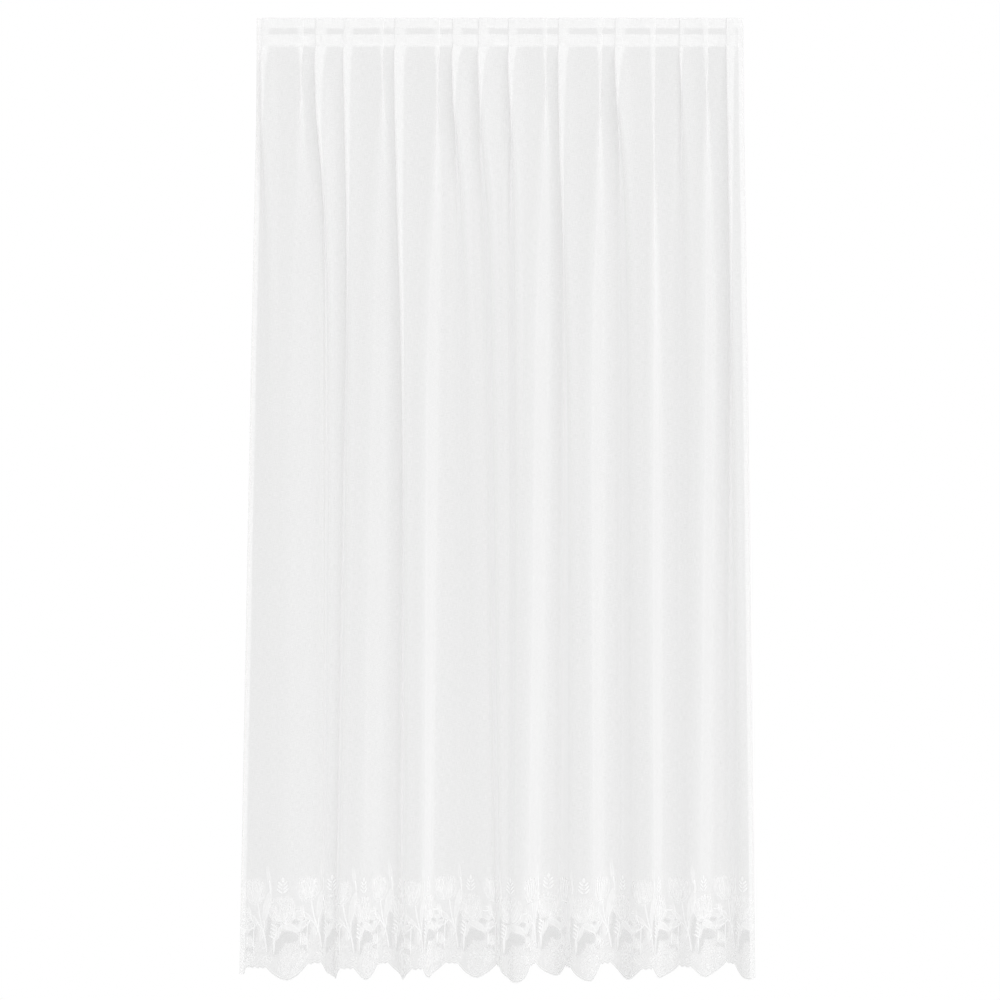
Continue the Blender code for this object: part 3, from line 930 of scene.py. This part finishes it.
top_v = np.linspace(TOP_INSET, TOP_HEM, TOP_HEM_ROWS)[:, None]
top_u = panel_u[:1]
top_hem = strip("top_hem", top_u + 0 * top_v, top_v + 0 * top_u, TOP_SUNK, hem_voile)


def side_hem(name, start, end):
    """The turned side hem, from the heading to the lower edge."""
    u = np.linspace(start, end, SIDE_HEM_COLUMNS)[None, :] + 0 * ROW_HEIGHTS[:, None]
    v = ROW_HEIGHTS[:, None] / DROP_TO_CUSPS * (lower_edge(u) - FOOT_INSET)
    return strip(name, u, v, SIDE_SUNK, hem_voile)


left_hem = side_hem("left_side_hem", FOLD_INSET, SIDE_HEM)
right_hem = side_hem("right_side_hem", FLAT_WIDTH - SIDE_HEM, FLAT_WIDTH - FOLD_INSET)

# %% [markdown]
# ## Stitching
# Three rows of machine stitches cross the heading: one holds the turned hem, and two hold
# the tape. A Curve along each row could carry them, but here each stitch is a short flat
# grid on the cloth, so it also turns with every tuck.

# %% Stitches, in metres
STITCH_LONG, STITCH_STEP, STITCH_WIDE = 0.0026, 0.0038, 0.0006
STITCH_ROWS = (TOP_HEM - 0.0015, 0.0425, 0.0695)
STITCH_FROM, STITCH_SHORT = 0.003, 0.004    # from the left side, and from the right
STITCH_POINTS, STITCH_LIFT = 4, 0.0003


def stitch_row(v):
    """Grids of flat places for one row of stitches along the heading."""
    starts = np.arange(STITCH_FROM, FLAT_WIDTH - STITCH_SHORT, STITCH_STEP)
    u = starts[:, None, None] + np.linspace(0, STITCH_LONG, STITCH_POINTS)[None, None, :]
    sides = np.array((-0.5, 0.5))[None, :, None] * STITCH_WIDE
    return u + 0 * sides, v + sides + 0 * u


stitch_u, stitch_v = (np.concatenate(part) for part in zip(*map(stitch_row, STITCH_ROWS)))
stitch_points = on_cloth(stitch_u, stitch_v, STITCH_LIFT + 0 * stitch_u).reshape(-1, 3)
stitch_first = (np.arange(len(stitch_u)) * 2 * STITCH_POINTS)[:, None, None]
stitch_faces = (grid_faces(2, STITCH_POINTS)[None] + stitch_first).reshape(-1, 4)
stitch_uv = np.stack((stitch_u, stitch_v), axis=-1).reshape(-1, 2)
stitches = make_piece("heading_stitches", stitch_points, stitch_faces, stitch_uv, sewing)

# %% [markdown]
# ## The heading tape
# The real tape is sewn on the back and shows through the voile as a lighter band. The
# solid model has its plain strip already, and the shape needs nothing more, so only its
# weave is made here. It reads Object coordinates, because the strip is straight.

# %% Tape weave
TAPE_PITCH, TAPE_ROW_SHARE = 0.0016, 0.8    # along the tape, and its rows as a share of it
# painted shade: the gaps between the ribs are coloured a little darker than the ribs
TAPE_GAP_PAINTED_SHADE, TAPE_RIB_WHITE = (0.95, 0.95, 0.95, 1), (0.97, 0.97, 0.97, 1)
TAPE_ROUGH, TAPE_SHEEN, TAPE_THROUGH = 0.75, 0.2, 0.05
TAPE_BUMP, TAPE_BUMP_DEEP = 0.15, 0.0003


def make_tape_weave():
    """Close woven tape: small ribs, each the product of threads both ways. The gaps between
    the ribs get painted shade, a little darker than the ribs.
    """
    material, output = new_material("woven_tape")
    tree = material.node_tree
    solid = add_node(tree, "ShaderNodeTexCoord").outputs["Object"]
    place = add_node(tree, "ShaderNodeSeparateXYZ", {0: solid})
    ribs = math(tree, "MULTIPLY", threads(tree, place.outputs[0], TAPE_PITCH),
                threads(tree, place.outputs[2], TAPE_PITCH * TAPE_ROW_SHARE))
    # painted shade in the weave's gaps, and the ribs' own white on the ribs
    shade = add_node(tree, "ShaderNodeMix", {0: ribs, 6: TAPE_GAP_PAINTED_SHADE, 7: TAPE_RIB_WHITE},
                     data_type="RGBA")
    bump = add_node(tree, "ShaderNodeBump", {"Height": ribs, "Strength": TAPE_BUMP,
                                             "Distance": TAPE_BUMP_DEEP}).outputs[0]
    yarn = add_node(tree, "ShaderNodeBsdfPrincipled", {
        "Base Color": shade.outputs[2], "Roughness": TAPE_ROUGH, "Sheen Weight": TAPE_SHEEN,
        "Normal": bump})
    behind = add_node(tree, "ShaderNodeBsdfTranslucent", {"Color": YARN_WHITE})
    both = add_node(tree, "ShaderNodeMixShader", {0: TAPE_THROUGH, 1: yarn.outputs[0],
                                                  2: behind.outputs[0]})
    tree.links.new(both.outputs[0], output.inputs["Surface"])
    return material


tape = bpy.data.objects["heading_tape"]
tape.data.materials.clear()
tape.data.materials.append(make_tape_weave())
print("tape from", tape_low, "to", tape_high)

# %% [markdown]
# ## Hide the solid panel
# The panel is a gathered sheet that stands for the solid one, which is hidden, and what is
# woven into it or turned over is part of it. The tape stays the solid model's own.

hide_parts("lace_panel")

# %% [markdown]
# ## Room, light and camera
# The curtain hangs in front of white, in soft light that comes a little from the right.
# Sheer cloth looks grey where it is thin, because a duller wall shows through it. Grey
# threads would give that too, but would be wrong before any other wall, so the
# surroundings are a little darker when they are seen through cloth.

# %% How bright the surroundings look, and how much light they give
DIRECT_WHITE, SEEN_THROUGH = 1.0, 0.713     # to the camera: bare, and through cloth
ROOM_LIGHT = 0.795          # the strength with which they light the curtain


def seen_or_lit(tree):
    """Strength of the surroundings: white where the camera sees them directly, duller
    through cloth, and ROOM_LIGHT for all other light."""
    path = add_node(tree, "ShaderNodeLightPath")
    through = math(tree, "GREATER_THAN", path.outputs["Transparent Depth"], 0.5)
    seen = add_node(tree, "ShaderNodeMapRange", {0: through, 3: DIRECT_WHITE,
                                                 4: SEEN_THROUGH}).outputs[0]
    return add_node(tree, "ShaderNodeMapRange", {
        0: path.outputs["Is Camera Ray"], 3: ROOM_LIGHT, 4: seen}).outputs[0]


def glowing(tree, output, kind):
    """White light, as strong as seen_or_lit says, from a node of the given kind."""
    glow = add_node(tree, kind, {"Color": (1, 1, 1, 1), "Strength": seen_or_lit(tree)})
    tree.links.new(glow.outputs[0], output.inputs["Surface"])


print("surroundings, bare and through cloth:", DIRECT_WHITE, SEEN_THROUGH)

# %% Room and floor
FLOOR_Z, FLOOR_HALF = -2.48, 14.0

world = bpy.data.worlds.new("pale_room")
world.use_nodes = True
world.node_tree.nodes.clear()
glowing(world.node_tree, world.node_tree.nodes.new("ShaderNodeOutputWorld"),
        "ShaderNodeBackground")
bpy.context.scene.world = world

floor_material, floor_out = new_material("pale_floor")
glowing(floor_material.node_tree, floor_out, "ShaderNodeEmission")
floor_mesh = bpy.data.meshes.new("floor")
corners = [(x * FLOOR_HALF, y * FLOOR_HALF, FLOOR_Z)
           for x, y in ((-1, -1), (1, -1), (1, 1), (-1, 1))]
floor_mesh.from_pydata(corners, [], [(0, 1, 2, 3)])
floor_mesh.materials.append(floor_material)
floor = bpy.data.objects.new("floor", floor_mesh)
bpy.context.scene.collection.objects.link(floor)
print("room and floor light:", ROOM_LIGHT)

# %% Key light
KEY_STRENGTH, KEY_ANGLE = 0.79, np.radians(40)
KEY_TURN = (np.radians(72), 0.0, np.radians(20))

key_data = bpy.data.lights.new("key_from_right", "SUN")
key_data.energy, key_data.angle = KEY_STRENGTH, KEY_ANGLE
key = bpy.data.objects.new("key_from_right", key_data)
key.rotation_euler = KEY_TURN
bpy.context.scene.collection.objects.link(key)
print("key light:", KEY_STRENGTH)

# %% Camera, and how far light is followed through layers of cloth
CAMERA_AWAY, CAMERA_HEIGHT, LENS = 5.0, -1.2217, 71.0
MOST_LAYERS, MOST_DIFFUSE, MOST_BOUNCES = 64, 16, 24

camera_data = bpy.data.cameras.new("camera")
camera_data.lens = LENS
camera = bpy.data.objects.new("camera", camera_data)
camera.location = (0.0, -CAMERA_AWAY, CAMERA_HEIGHT)
camera.rotation_euler = (np.pi / 2, 0.0, 0.0)
bpy.context.scene.collection.objects.link(camera)
scene = bpy.context.scene
scene.camera = camera
scene.view_settings.view_transform = "Standard"
scene.cycles.transparent_max_bounces = MOST_LAYERS
scene.cycles.diffuse_bounces = MOST_DIFFUSE
scene.cycles.max_bounces = MOST_BOUNCES
print("camera at", tuple(camera.location))
